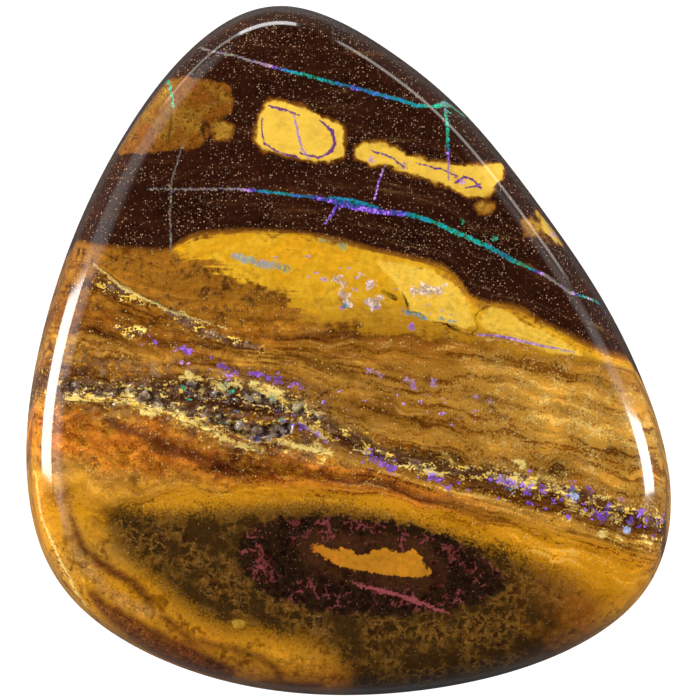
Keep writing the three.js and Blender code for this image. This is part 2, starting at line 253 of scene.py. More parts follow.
# Coloured lines and blots, as strokes of (pixel x, pixel y, half width in pixels).
STROKES = {
    "ink": [
        [(172, 112, 0.9), (172, 122, 1.2), (171, 131, 1), (169, 142, 0.8)],
        [(228, 118, 2.2), (216, 121, 3), (206, 124, 3.2), (203, 132, 2.6), (206, 139, 1.6)],
        [(214, 136, 1.6), (209, 141, 1.4)], [(385, 293, 2), (392, 297, 3)],
        [(403, 296, 1.2), (406, 304, 1.6), (409, 312, 1.4), (420, 314, 1.2), (428, 321, 1.2),
         (440, 323, 0.9), (455, 330, 1.1), (470, 335, 1), (477, 330, 0.9), (474, 320, 0.9), (478, 311, 0.9),
         (486, 307, 0.7)],
        [(541, 212, 1), (538, 222, 1.2), (543, 234, 1.4), (552, 242, 1.2)],
        [(470, 203, 0.9), (480, 199, 1.2), (492, 202, 0.9)],
        [(318, 398, 0.8), (328, 391, 1), (336, 387, 0.7)],
    ],
    "plum": [
        [(272, 108, 1), (285, 111, 1.2), (297, 116, 0.8)],
        [(263, 122, 0.5), (262, 133, 0.8), (265, 145, 0.7), (280, 154, 0.9), (296, 158, 0.8)],
        [(322, 124, 1), (333, 133, 1.7), (335, 144, 1.9), (332, 153, 1.7), (318, 159, 1.2), (303, 155, 1)],
        [(372, 152, 0.6), (390, 158, 0.9), (404, 168, 0.8)],
        [(418, 165, 0.6), (440, 170, 0.8), (454, 176, 1)],
        [(457, 182, 1.4), (463, 178, 1.4), (472, 181, 1.2), (478, 187, 1.4), (468, 188, 1)],
    ],
    "maroon": [
        [(108, 420, 4), (130, 430, 5), (150, 437, 6), (180, 450, 6), (205, 461, 7), (228, 469, 6),
         (245, 474, 4)],
        [(92, 592, 4), (110, 610, 8), (138, 630, 11), (168, 647, 12), (200, 661, 11), (228, 671, 7)],
        [(262, 680, 1.6), (290, 684, 3), (320, 684, 1.6)],
        [(72, 505, 0.8), (76, 528, 2.2), (84, 546, 3.2), (98, 559, 4), (114, 570, 5), (132, 580, 6),
         (142, 590, 5), (151, 600, 3.6)],
        [(164, 616, 1.6), (180, 627, 3), (190, 638, 2.6), (212, 643, 2.4), (232, 646, 2.4), (249, 652, 2.4),
         (263, 657, 2.6), (276, 667, 3), (282, 680, 2.4)],
        [(150, 448, 2), (170, 452, 4), (190, 456, 3)],
    ],
    "mauve": [
        [(150, 334, 1.5), (162, 342, 2.5), (180, 349, 3), (195, 353, 2.5), (232, 362, 1.5)],
        [(215, 365, 1.5), (235, 371, 2.5), (262, 377, 2), (300, 384, 2.5), (332, 392, 1.5)],
        [(336, 352, 1.5), (372, 360, 2), (404, 375, 2.5), (440, 384, 2), (490, 398, 2), (540, 412, 1.5)],
        [(488, 336, 1.5), (510, 340, 2.5), (540, 347, 1.5)],
        [(340, 300, 2), (352, 310, 2.5), (374, 314, 2)], [(282, 408, 2), (300, 414, 3), (316, 420, 2)],
        [(560, 410, 1.5), (590, 424, 2), (620, 440, 1.5)],
    ],
    "dusky": [
        [(63, 458, 4), (66, 496, 6), (73, 530, 6), (86, 562, 6), (100, 580, 4)],
        [(104, 588, 5), (126, 602, 8), (152, 611, 5)],
    ],
    "matrix": [
        [(99, 280, 3), (109, 288, 6), (124, 295, 6), (142, 301, 3)],
        [(168, 312, 3), (185, 320, 5), (206, 333, 4), (233, 341, 3), (262, 350, 2)],
        [(122, 327, 3), (132, 333, 5), (142, 330, 3)],
        [(66, 384, 4), (92, 391, 6), (112, 392, 5), (140, 393, 6), (160, 399, 7), (185, 409, 6),
         (205, 413, 6), (225, 419, 7), (245, 428, 8), (262, 431, 8), (280, 428, 7), (292, 421, 4)],
        [(171, 385, 3), (190, 388, 5), (207, 393, 6), (222, 397, 3)],
        [(238, 393, 4), (255, 398, 6), (272, 403, 5)], [(284, 404, 4), (300, 411, 5), (314, 417, 3)],
        [(310, 425, 3), (322, 431, 4), (334, 438, 3)],
        [(346, 438, 3), (372, 452, 5), (400, 460, 4), (430, 468, 5), (460, 471, 5), (500, 476, 6),
         (540, 486, 7), (580, 498, 8), (620, 512, 7), (655, 522, 5)],
    ],
    "cream": [
        [(254, 384, 2.4), (266, 390, 3.4), (276, 396, 4.2), (290, 403, 3.4), (304, 407, 2)],
        [(182, 376, 2), (198, 377, 2.8), (212, 383, 3)], [(218, 386, 2.4), (238, 383, 2.6)],
        [(300, 420, 2.4), (314, 427, 3), (328, 434, 3)], [(314, 444, 2.2), (330, 452, 2.4)],
        [(68, 398, 2.4), (84, 398, 3), (96, 402, 2.4), (106, 399, 2.4)], [(110, 397, 3.4), (122, 403, 3)],
        [(131, 396, 4.4), (137, 405, 4.4), (148, 411, 3), (162, 412, 2.2)],
        [(174, 411, 2.8), (190, 421, 3.6), (204, 428, 3.8), (218, 434, 3.4), (234, 441, 2.6)],
        [(238, 444, 2.4), (252, 447, 3), (268, 446, 2.6), (282, 440, 2.6), (298, 446, 2.6), (314, 449, 2.2)],
        [(440, 455, 2), (455, 459, 2.4)], [(424, 470, 2), (440, 474, 2)],
        [(514, 463, 2.6), (522, 465, 2.2)], [(498, 478, 2.4), (530, 482, 3)],
        [(540, 473, 3), (552, 478, 3)], [(556, 488, 3), (560, 492, 2.4)],
        [(564, 496, 3.4), (574, 508, 3.2), (588, 514, 2.6)], [(612, 516, 2.4), (618, 520, 2.4)],
        [(600, 532, 2), (616, 538, 2.2)], [(640, 536, 2), (650, 540, 1.6)],
    ],
    # The first of these strokes is a pale golden line in the rock; the second, along the lower left rim, is a
    # painted pale reflection on the shoulder
    "gilt": [
        [(97, 266, 0.9), (112, 278, 1.9), (128, 290, 2), (150, 302, 1.5), (172, 311, 1.3), (225, 328, 0.8)],
        [(37, 473, 1.2), (43, 517, 1.8), (63, 563, 2), (78, 592, 1.8), (89, 609, 1.2)],
    ],
    "rose": [
        [(356, 582, 0.9), (372, 588, 1.6), (390, 591, 2), (410, 598, 2), (430, 605, 1.8), (446, 611, 0.9)],
    ],
}

# The colours that the opal's tones run through
OPAL_TONES = [
    (0.14, 0.135, 0.1, 1), (0.42, 0.23, 0.44, 1), (0.2, 0.07, 0.6, 1), (0.021, 0.08, 0.3, 1),
    (0.008, 0.23, 0.32, 1), (0.012, 0.34, 0.17, 1), (0.1, 0.22, 0.155, 1), (0.5, 0.62, 1, 1),
    (0.52, 0.37, 0.32, 1),
]

FAR = 40.0  # pixels, past which a stroke or a shape has no say

radians = math.radians


# The user's sizes and colours

def colour_property(name, value, description):
    """A colour that a user can change, given as red, green and blue from 0 to 255."""
    return FloatVectorProperty(
        name=name, description=description, subtype="COLOR", size=3, min=0, max=1,
        default=[linear(channel / 255) for channel in value])


def linear(channel):
    """The light behind one channel of a screen colour."""
    if channel <= 0.04045:
        return channel / 12.92
    return ((channel + 0.055) / 1.055) ** 2.4


def length_property(name, value, description):
    """A length that a user can change, in metres."""
    return FloatProperty(name=name, description=description, default=value, unit="LENGTH", precision=5)


def angle_property(name, value, description):
    """An angle that a user can change, given in degrees."""
    return FloatProperty(name=name, description=description, default=radians(value), subtype="ANGLE")


def light_property(name, value, description):
    """A brightness that a user can change."""
    return FloatProperty(name=name, description=description, default=value, min=0)


def count_property(name, value, least, description):
    """A whole number that a user can change."""
    return IntProperty(name=name, description=description, default=value, min=least)


class IRONSTONE_PG_cut(bpy.types.PropertyGroup):
    """How the stone is cut and how finely its surface is divided."""

    dome_rise: length_property("Dome rise", 1.1 * MM, "From the shoulder's inner edge to the top of the dome")
    dome_edge_tilt: angle_property("Dome edge tilt", 9, "Where the dome turns into the shoulder")
    shoulder_radius: length_property("Shoulder radius", 1.9 * MM, "The rounded edge round the face")
    wall_lean: angle_property("Wall lean", 6, "How far the side wall leans in towards the face")
    girdle_height: length_property("Girdle height", 1.5 * MM, "Where the stone is widest")
    back_inset: length_property("Back inset", 1.2 * MM, "The flat back's edge, in from the widest line")
    face_cells: count_property("Face cells", 270, 20, "Cells along each side of the face's grid")
    shoulder_steps: count_property("Shoulder steps", 11, 3, "Rings of faces down the rounded shoulder")
    wall_steps: count_property("Wall steps", 3, 1, "Rings of faces down the side wall")
    lower_edge_steps: count_property("Lower edge steps", 6, 2, "Rings of faces round the lower edge")
    back_cuts: count_property("Back cuts", 26, 2, "Lines across the flat back each way")


class IRONSTONE_PG_colours(bpy.types.PropertyGroup):
    """The colours of the rock and of its opal."""

    dark_rock: colour_property("Dark rock", (44, 18, 8), "The dark ironstone of the narrow end")
    dark_warm: colour_property("Dark rock, warm", (92, 52, 28), "Dark ironstone near the edge")
    margin: colour_property("Margin", (132, 78, 18), "The soft edge between dark and golden rock")
    ochre: colour_property("Ochre", (154, 100, 26), "Dull golden rock on the left")
    gold: colour_property("Gold", (218, 158, 26), "Golden rock")
    bright_gold: colour_property("Bright gold", (240, 182, 40), "The brightest golden rock")
    lamina: colour_property("Laminae", (158, 104, 28), "Golden brown laminae")
    lamina_dark: colour_property("Dark laminae", (120, 70, 18), "Brown laminae")
    sand_gold: colour_property("Sandy gold", (190, 136, 48), "Pale golden laminae")
    grain_brown: colour_property("Grainy brown", (84, 54, 30), "The grainy dark band")
    rust: colour_property("Rust", (206, 122, 34), "Rusty rock under the grainy band")
    maroon: colour_property("Maroon", (92, 40, 18), "Dark red streaks in the rusty rock")
    amber_brown: colour_property("Amber brown", (196, 134, 34), "Dull amber rock")
    amber: colour_property("Amber", (216, 146, 22), "The clear amber band")
    olive: colour_property("Olive", (56, 37, 12), "Dark rock round the eye")
    olive_light: colour_property("Light olive", (134, 92, 34), "Lighter rock round the eye")
    eye: colour_property("Eye", (30, 15, 10), "The black eye")
    heart: colour_property("Heart", (204, 134, 32), "The amber heart of the eye")
    mauve_brown: colour_property("Mauve brown", (140, 112, 92), "Greyish crumbs in the broken band")
    plum: colour_property("Plum", (100, 42, 124), "Purple lines in the windows")
    rose: colour_property("Rose", (174, 86, 90), "Pink lines round the eye")
    # Cream is also laid along the lower left rim as a painted reflection
    cream: colour_property("Cream", (250, 224, 136), "Pale yellow lines and rims")
    window: colour_property("Window", (250, 203, 74), "The bright yellow windows")
    # Pale sand grains, whose colour carries painted glints of light
    grit: colour_property("Grit", (222, 180, 140), "Sand grains that glint in the rock")
    lump: colour_property("Lump", (152, 138, 126), "Rounded grey opal in the cavities")


class IRONSTONE_PG_studio(bpy.types.PropertyGroup):
    """The plain white studio."""

    floor_width: length_property("Floor width", 0.9, "Side of the white floor")
    camera_lens: length_property("Lens", 0.8, "Focal length of the camera")
    picture_width: length_property(
        "Picture width", PHOTO_SIDE * PIXEL, "What the camera sees across, at the stone")
    side_light: light_property("Side light", 18.5, "Brightness of the lamp on the left, as seen in the stone")
    floor_glow: light_property("Floor glow", 1.05, "Light that the camera sees the white floor give")


# The shape of the stone

class Outline:
    """The stone's edge at its widest line, as a closed curve that can be moved in along its normals."""

    BETWEEN_POINTS = 220
    ROUNDS = 40  # of moving the controls until the curve runs through the points

    def __init__(self, points, middle):
        knots = np.array(points) * MM
        controls = knots.copy()
        for _ in range(self.ROUNDS):
            controls = (6 * knots - np.roll(controls, 1, 0) - np.roll(controls, -1, 0)) / 4
        t = np.linspace(0, 1, self.BETWEEN_POINTS, endpoint=False)[:, None, None]
        weights = [(1 - t) ** 3, 3 * t ** 3 - 6 * t ** 2 + 4, -3 * t ** 3 + 3 * t ** 2 + 3 * t + 1, t ** 3]
        line = sum(weight * np.roll(controls, 1 - k, 0) for k, weight in enumerate(weights)) / 6
        line = line.transpose(1, 0, 2).reshape(-1, 2)
        line += np.array(middle) - (line.min(0) + line.max(0)) / 2
        along = np.roll(line, -1, 0) - np.roll(line, 1, 0)
        along /= np.hypot(*along.T)[:, None]
        self.line = line
        self.inward = np.stack([-along[:, 1], along[:, 0]], 1)

    def moved_in(self, inset):
        return self.line + self.inward * inset

    def place(self, share, inset):
        """The points at these shares of the way round, moved in."""
        ring = self.moved_in(inset)
        steps = np.arange(len(ring) + 1) / len(ring)
        closed = np.vstack([ring, ring[:1]])
        return np.stack([np.interp(share, steps, closed[:, axis]) for axis in range(2)], 1)

    def share_towards(self, angle, inset):
        """How far round the curve lies in each direction from the origin."""
        ring = self.moved_in(inset)
        turn = np.unwrap(np.arctan2(ring[:, 1], ring[:, 0]))
        steps = np.arange(len(ring)) / len(ring)
        wrapped = turn[0] + (angle - turn[0]) % (2 * math.pi)
        return np.interp(wrapped, np.append(turn, turn[0] + 2 * math.pi), np.append(steps, 1.0)) % 1.0


class Section:
    """The stone's section from the edge of the dome down to the flat back."""

    def __init__(self, cut, thickness):
        self.cut = cut
        self.thickness = thickness
        self.wall_tilt = math.pi / 2 - cut.wall_lean
        self.shoulder_height = thickness - cut.dome_rise
        self.wall_top = (self.shoulder_height
                         - cut.shoulder_radius * (math.cos(cut.dome_edge_tilt) - math.cos(self.wall_tilt)))
        self.wall_inset = (self.wall_top - cut.girdle_height) * math.tan(cut.wall_lean)
        width = cut.shoulder_radius * (math.sin(self.wall_tilt) - math.sin(cut.dome_edge_tilt))
        self.dome_inset = self.wall_inset + width

    def dome(self, reach):
        """Height of the polished dome at a share of the way from the middle to its edge."""
        return self.thickness - self.cut.dome_rise * reach ** 2

    def below_dome(self):
        """How far in from the widest line, and how high, each ring below the dome lies."""
        cut = self.cut
        rings = []
        for i in range(1, cut.shoulder_steps + 1):
            tilt = cut.dome_edge_tilt + (self.wall_tilt - cut.dome_edge_tilt) * i / cut.shoulder_steps
            out = cut.shoulder_radius * (math.sin(tilt) - math.sin(cut.dome_edge_tilt))
            down = cut.shoulder_radius * (math.cos(cut.dome_edge_tilt) - math.cos(tilt))
            rings.append((self.dome_inset - out, self.shoulder_height - down))
        for i in range(1, cut.wall_steps + 1):
            share = i / cut.wall_steps
            height = self.wall_top + (cut.girdle_height - self.wall_top) * share
            rings.append((self.wall_inset * (1 - share), height))
        for i in range(1, cut.lower_edge_steps + 1):
            turn = math.pi / 2 * i / cut.lower_edge_steps
            rings.append((cut.back_inset * (1 - math.cos(turn)), cut.girdle_height * (1 - math.sin(turn))))
        return rings


def ramp_between(value, low, high):
    """Rises smoothly from 0 at low to 1 at high, or falls where low is the greater."""
    share = np.clip((value - low) / (high - low), 0, 1)
    return share * share * (3 - 2 * share)


def ragged(places, size, depth, seed):
    """A smooth unevenness at each place, between about -1 and 1."""
    shift = Vector((seed * 7.3, seed * 3.1, seed * 1.7))
    return np.array([noise.fractal(Vector(place) / size + shift, 1.0, 2.0, depth) for place in places])


class CavityRow:
    """The open cavities across the left half of the face, with the small holes and lumps between them."""

    SEED = 11
    SMALL_HOLES = 70
    CRUMBS = 36
    SHALLOWER = 0.65  # how much of the solid's depth is left once crumbs fill the cavities
    RIGHT_END = 1.0 * MM
    MIDDLE_Y = -2.9 * MM
    HALF_HEIGHT = 2.8 * MM
    JAG_SIZE = 0.28 * MM
    JAGS = (0.13 * MM, 0.11 * MM)  # how far the jagged rims stray across and up
    RIM = 1.08  # where a hole begins, as a share of its half length and half width
    SLOPE = 0.5  # how far in from its rim a hole is at its full depth, as such a share

    def __init__(self):
        rng = random.Random(self.SEED)
        cavities = [[value * MM for value in hole[:5]] + [radians(hole[5])] for hole in CAVITIES]
        self.holes = list(cavities)
        self.lumps = [[value * MM for value in lump] for lump in LUMPS]
        for _ in range(self.SMALL_HOLES):
            x, y, *_, turn = rng.choice(cavities)
            size = rng.uniform(0.08, 0.19) * MM
            self.holes.append([x + rng.gauss(0, 0.75) * MM, y + rng.gauss(0, 0.34) * MM, size * 1.5, size,
                               rng.uniform(0.06, 0.2) * MM, turn + rng.gauss(0, 0.5)])
        for _ in range(self.CRUMBS):
            x, y, half_length, half_width, depth, _ = rng.choice(cavities)
            size = rng.uniform(0.1, 0.2) * MM
            self.lumps.append([x + rng.uniform(-1, 1) * half_length, y + rng.uniform(-1, 1) * half_width,
                               size, rng.uniform(0.12, 0.4) * depth])

    def near(self, x, y):
        """Which places are close enough to the row to matter."""
        return (x < self.RIGHT_END) & (abs(y - self.MIDDLE_Y) < self.HALF_HEIGHT)

    def relief(self, x, y):
        """Depth of the cavities at each place, and how much of what shows there is a lump."""
        places = np.stack([x, y, np.zeros_like(x)], 1)
        x = x + ragged(places, self.JAG_SIZE, 3, 1) * self.JAGS[0]
        y = y + ragged(places, self.JAG_SIZE, 3, 2) * self.JAGS[1]
        depth = np.zeros_like(x)
        for hole_x, hole_y, half_length, half_width, hole_depth, turn in self.holes:
            across, up = x - hole_x, y - hole_y
            along = (across * math.cos(turn) + up * math.sin(turn)) / half_length
            aside = (up * math.cos(turn) - across * math.sin(turn)) / half_width
            inside = self.RIM - np.hypot(along, aside)
            depth = np.maximum(depth, hole_depth * ramp_between(inside, 0, self.SLOPE))
        lumps = np.zeros_like(x)
        for lump_x, lump_y, radius, below in self.lumps:
            apart = np.hypot(x - lump_x, y - lump_y)
            top = below + radius - np.sqrt(np.maximum(radius ** 2 - apart ** 2, 0))
            stands = (apart < radius) & (top < depth)
            lumps[stands] = ramp_between(apart[stands] / radius, 1.0, 0.6)
            depth[stands] = top[stands]
        return depth * self.SHALLOWER, lumps


# The flat map: how much of the stone its side spans, and where and how small the back lies in it
FLAT_SIDE = 41.4 * MM
BACK_SHRUNK = 0.29
BACK_CORNER = (0.872, 0.868)


# Where the face's rows, which run from -1 to 1, lie closer together because of the cavities: how much closer,
# about which row, and how far to each side
ROWS_CLOSER = 1.5
CLOSE_ROW = -0.2
CLOSE_REACH = 0.13


def dense_rows(rows):
    """Moves the face's rows closer together where the cavities are."""
    at = np.linspace(-1, 1, 400)
    density = 1 + ROWS_CLOSER * np.exp(-((at - CLOSE_ROW) / CLOSE_REACH) ** 2)
    spread = np.cumsum(density)
    spread = 2 * (spread - spread[0]) / (spread[-1] - spread[0]) - 1
    return np.interp(rows, spread, at)


def stone_mesh(cut, low, high):
    """The whole stone as a bmesh, and its section. A grid is domed, and its rim is drawn down to the back."""
    section = Section(cut, high.z - low.z)
    outline = Outline(OUTLINE, ((low.x + high.x) / 2, (low.y + high.y) / 2))
    stone = bmesh.new()
    around = stone.verts.layers.float.new("around")
    drawn_out = stone.verts.layers.float.new("drawn_out")
    bmesh.ops.create_grid(stone, x_segments=cut.face_cells, y_segments=cut.face_cells, size=1)

    # The square grid becomes a disc, and the disc becomes the face.
    square = np.array([vert.co[:2] for vert in stone.verts])
    u, v = square[:, 0], dense_rows(square[:, 1])
    across, up = u * np.sqrt(1 - v * v / 2), v * np.sqrt(1 - u * u / 2)
    reach = np.hypot(across, up)
    share = outline.share_towards(np.arctan2(up, across), section.dome_inset)
    face = outline.place(share, section.dome_inset) * reach[:, None]
    height = section.dome(reach)
    row = CavityRow()
    near = row.near(*face.T)
    depth, _ = row.relief(*face[near].T)
    height[near] -= depth
    for vert, (x, y), z, turn in zip(stone.verts, face, height, share):
        vert.co = (x, y, z)
        vert[around] = turn

    rim = [edge for edge in stone.edges if edge.is_boundary]
    above = (section.dome_inset, section.shoulder_height)
    length = 0.0
    for inset, z in section.below_dome():
        length += math.dist(above, (inset, z))
        above = (inset, z)
        drawn = bmesh.ops.extrude_edge_only(stone, edges=rim)["geom"]
        rim = [item for item in drawn if isinstance(item, bmesh.types.BMEdge) and item.is_boundary]
        verts = [item for item in drawn if isinstance(item, bmesh.types.BMVert)]
        ring = outline.place(np.array([vert[around] for vert in verts]), inset)
        for vert, (x, y) in zip(verts, ring):
            vert.co = (x, y, z)
            vert[drawn_out] = length

    back = bmesh.ops.contextual_create(stone, geom=rim)["faces"]
    for normal in ((1, 0, 0), (0, 1, 0)):
        for i in range(1, cut.back_cuts):
            place = low + (high - low) * (i / cut.back_cuts)
            edges = {edge for face in back for edge in face.edges}
            verts = {vert for face in back for vert in face.verts}
            cut_back = bmesh.ops.bisect_plane(
                stone, geom=[*back, *edges, *verts], dist=1e-9,
                plane_co=(place.x, place.y, 0), plane_no=normal)
            back = [item for item in cut_back["geom"] if isinstance(item, bmesh.types.BMFace)]
    bmesh.ops.recalc_face_normals(stone, faces=stone.faces)
    lay_flat(stone, section, outline, length)
    for face in stone.faces:
        face.smooth = True
    return stone, section


def lay_flat(stone, section, outline, length):
    """Gives the stone the map that its colours are baked through. The face lies in the middle, with the
    shoulder and the wall round it, and the lower edge and the back lie small in the upper right corner."""
    around = stone.verts.layers.float["around"]
    drawn_out = stone.verts.layers.float["drawn_out"]
    places = np.array([vert.co for vert in stone.verts])
    turn = np.array([vert[around] for vert in stone.verts])
    out = np.array([vert[drawn_out] for vert in stone.verts])
    upper, lower = places[:, :2].copy(), places[:, :2].copy()
    ringed = (out > 0) & (places[:, 2] > 1e-9)
    for ring in np.unique(out[ringed]):
        at = np.flatnonzero(ringed & (out == ring))
        upper[at] = outline.place(turn[at], section.dome_inset - ring)
        lower[at] = outline.place(turn[at], section.cut.back_inset - (length - ring))
    middle = (places.min(0) + places.max(0))[:2] / 2
    upper = (upper - middle) / FLAT_SIDE + 0.5
    lower = (lower - middle) * (-BACK_SHRUNK, BACK_SHRUNK) / FLAT_SIDE + BACK_CORNER
    flat = stone.loops.layers.uv.new("OFBake")
    stone.verts.index_update()
    for face in stone.faces:
        spots = lower if face.calc_center_median().z < section.cut.girdle_height else upper
        for loop in face.loops:
            loop[flat].uv = spots[loop.vert.index]


# Where the pattern lies on the stone

def smooth_line(points, at):
    """A smooth curve through points of rising x, read at many places."""
    x, y = np.array(points, float).T
    slope = np.gradient(y, x)
    i = np.clip(np.searchsorted(x, at) - 1, 0, len(x) - 2)
    step = x[i + 1] - x[i]
    t = np.clip((at - x[i]) / step, 0, 1)
    rise = (2 * t ** 3 - 3 * t ** 2 + 1) * y[i] + (3 * t ** 2 - 2 * t ** 3) * y[i + 1]
    return rise + step * ((t ** 3 - 2 * t ** 2 + t) * slope[i] + (t ** 3 - t ** 2) * slope[i + 1])


LEAST_BED = 4  # pixels, so that no bed vanishes


def bed_depth(u, v):
    """How far down the middle core the bed at each place lies, in pixels."""
    feet = [smooth_line(line, u) for line in BED_FEET]
    for upper, lower in zip(feet, feet[1:]):
        np.maximum(lower, upper + LEAST_BED, out=lower)
    depth = v * CORE_FEET[0] / feet[0]
    depth = np.minimum(depth, CORE_FEET[0])
    for upper, lower, start, end in zip(feet, feet[1:], CORE_FEET, CORE_FEET[1:]):
        depth += np.clip((v - upper) / (lower - upper), 0, 1) * (end - start)
    return depth + np.maximum(v - feet[-1], 0)


def stroke_fields(strokes, u, v):
    """For each place: how far it lies outside the nearest stroke and beside that stroke's middle line,
    and the stroke's half width and tone there. The first three are in pixels."""
    gap, beside = np.full(u.shape, FAR), np.full(u.shape, FAR)
    half, tone = np.zeros(u.shape), np.zeros(u.shape)
    for stroke in strokes:
        points = np.array(stroke, float)
        reach = points[:, 2].max() + FAR
        (left, top), (right, foot) = points[:, :2].min(0) - reach, points[:, :2].max(0) + reach
        near = np.flatnonzero((u > left) & (u < right) & (v > top) & (v < foot))
        for start, end in zip(points, points[1:] if len(points) > 1 else points):
            run = end - start
            length = max(math.hypot(run[0], run[1]), 1e-6)
            away_u, away_v = u[near] - start[0], v[near] - start[1]
            share = np.clip((away_u * run[0] + away_v * run[1]) / length ** 2, 0, 1)
            width = start[2] + share * run[2]
            far = np.hypot(away_u - share * run[0], away_v - share * run[1]) - width
            nearer = far < gap[near]
            places = near[nearer]
            gap[places] = far[nearer]
            beside[places] = ((away_v * run[0] - away_u * run[1]) / length)[nearer]
            half[places] = width[nearer]
            if len(start) > 3:
                tone[places] = (start[3] + share * run[3])[nearer]
    return gap, beside, half, tone


def shape_gap(points, u, v):
    """How far each place lies outside a closed shape, in pixels, and below zero inside it."""
    corners = np.array(points, float)
    gap = np.full(u.shape, 1e3)
    inside = np.zeros(u.shape, bool)
    for (u0, v0), (u1, v1) in zip(corners, np.roll(corners, -1, 0)):
        along_u, along_v = u1 - u0, v1 - v0
        share = np.clip(((u - u0) * along_u + (v - v0) * along_v) / (along_u ** 2 + along_v ** 2), 0, 1)
        gap = np.minimum(gap, np.hypot(u - u0 - share * along_u, v - v0 - share * along_v))
        if v0 != v1:
            inside ^= ((v0 > v) != (v1 > v)) & (u < u0 + (v - v0) * (u1 - u0) / (v1 - v0))
    return np.where(inside, -gap, gap)


SIDE_DIP = (0.12, 0.42)  # how far the beds lean across and down the picture for each pixel below the face
DEPTH_FADE = 0.35  # how fast a shape that is only on the face shrinks below it
LINES = ("seam", "ink", "plum", "gilt", "rose")  # strokes that the material draws from their middle line out
TRAIL_EDGE = (6, -8)  # pixels outside and inside a trail, between which its flecks grow thick
CAVITY_REACH = 0.7 * MM  # below the shoulder's inner edge, past which no cavity goes


def pattern_fields(places, section):
    """Every value that the stone's material reads, for each vertex."""
    x, y, z = places.T
    below = np.maximum(section.wall_top - z, 0) / PIXEL
    u = MIDDLE_PIXEL[0] + x / PIXEL + below * SIDE_DIP[0]
    v = MIDDLE_PIXEL[1] - y / PIXEL - below * SIDE_DIP[1]
    fade = below * DEPTH_FADE
    fields = {"bed": bed_depth(u, v), "window": np.full(u.shape, FAR), "sparkle_tone": np.ones(u.shape)}
    for name in ("window_tone", "sparkle", "cavity", "lump"):
        fields[name] = np.zeros(u.shape)
    for name, shape in (("halo", HALO), ("eye", EYE), ("heart", HEART), ("glow", GLOW)):
        fields[name] = shape_gap(shape, u, v) + fade
    for tone, shape in WINDOWS:
        gap = shape_gap(shape, u, v) + fade
        nearer = gap < fields["window"]
        fields["window"][nearer] = gap[nearer]
        fields["window_tone"][nearer] = tone
    for name, strokes in (("seam", OPAL_SEAMS), ("fleck", OPAL_FLECKS), *STROKES.items()):
        gap, beside, half, tone = stroke_fields(strokes, u, v)
        fields[name] = gap if name == "seam" else gap + fade
        if name in LINES:
            fields[name + "_beside"], fields[name + "_half"] = beside, half
        if name in ("seam", "fleck"):
            fields[name + "_tone"] = tone
    for thickness, trail in FLECK_TRAILS:
        gap, _, _, tone = stroke_fields([trail], u, v)
        dense = thickness * ramp_between(gap + fade, *TRAIL_EDGE)
        denser = dense > fields["sparkle"]
        fields["sparkle"][denser] = dense[denser]
        fields["sparkle_tone"][denser] = tone[denser]
    row = CavityRow()
    near = row.near(x, y) & (z > section.shoulder_height - CAVITY_REACH)
    depth, lumps = row.relief(x[near], y[near])
    fields["cavity"][near] = depth / PIXEL
    fields["lump"][near] = lumps
    return fields


# The material

def math_operator(operation, turned_round=False):
    """A Python operator that adds a Math node, with its values the other way round if need be."""

    def method(self, *others):
        values = (self, *others)
        return self.maths(operation, *(values[::-1] if turned_round else values))

    return method


class Signal:
    """A number that changes over the surface: a node's output, written into Python sums."""

    __add__ = __radd__ = math_operator("ADD")
    __sub__ = math_operator("SUBTRACT")
    __rsub__ = math_operator("SUBTRACT", turned_round=True)
    __mul__ = __rmul__ = math_operator("MULTIPLY")
    __truediv__ = math_operator("DIVIDE")
    __gt__ = math_operator("GREATER_THAN")
    __abs__ = math_operator("ABSOLUTE")
    most = math_operator("MAXIMUM")

    def __init__(self, recipe, socket):
        self.recipe = recipe
        self.socket = socket

    def output(self, number):
        """Another output of the same node."""
        return Signal(self.recipe, self.socket.node.outputs[number])

    def maths(self, operation, *values):
        return self.recipe.node("ShaderNodeMath", {"operation": operation}, dict(enumerate(values)))

    def between(self, start, end):
        """Turns smoothly from 0 at start to 1 at end, whichever is the greater."""
        return self.recipe.node(
            "ShaderNodeMapRange", {"interpolation_type": "SMOOTHSTEP"},
            {"Value": self, "From Min": start, "From Max": end})


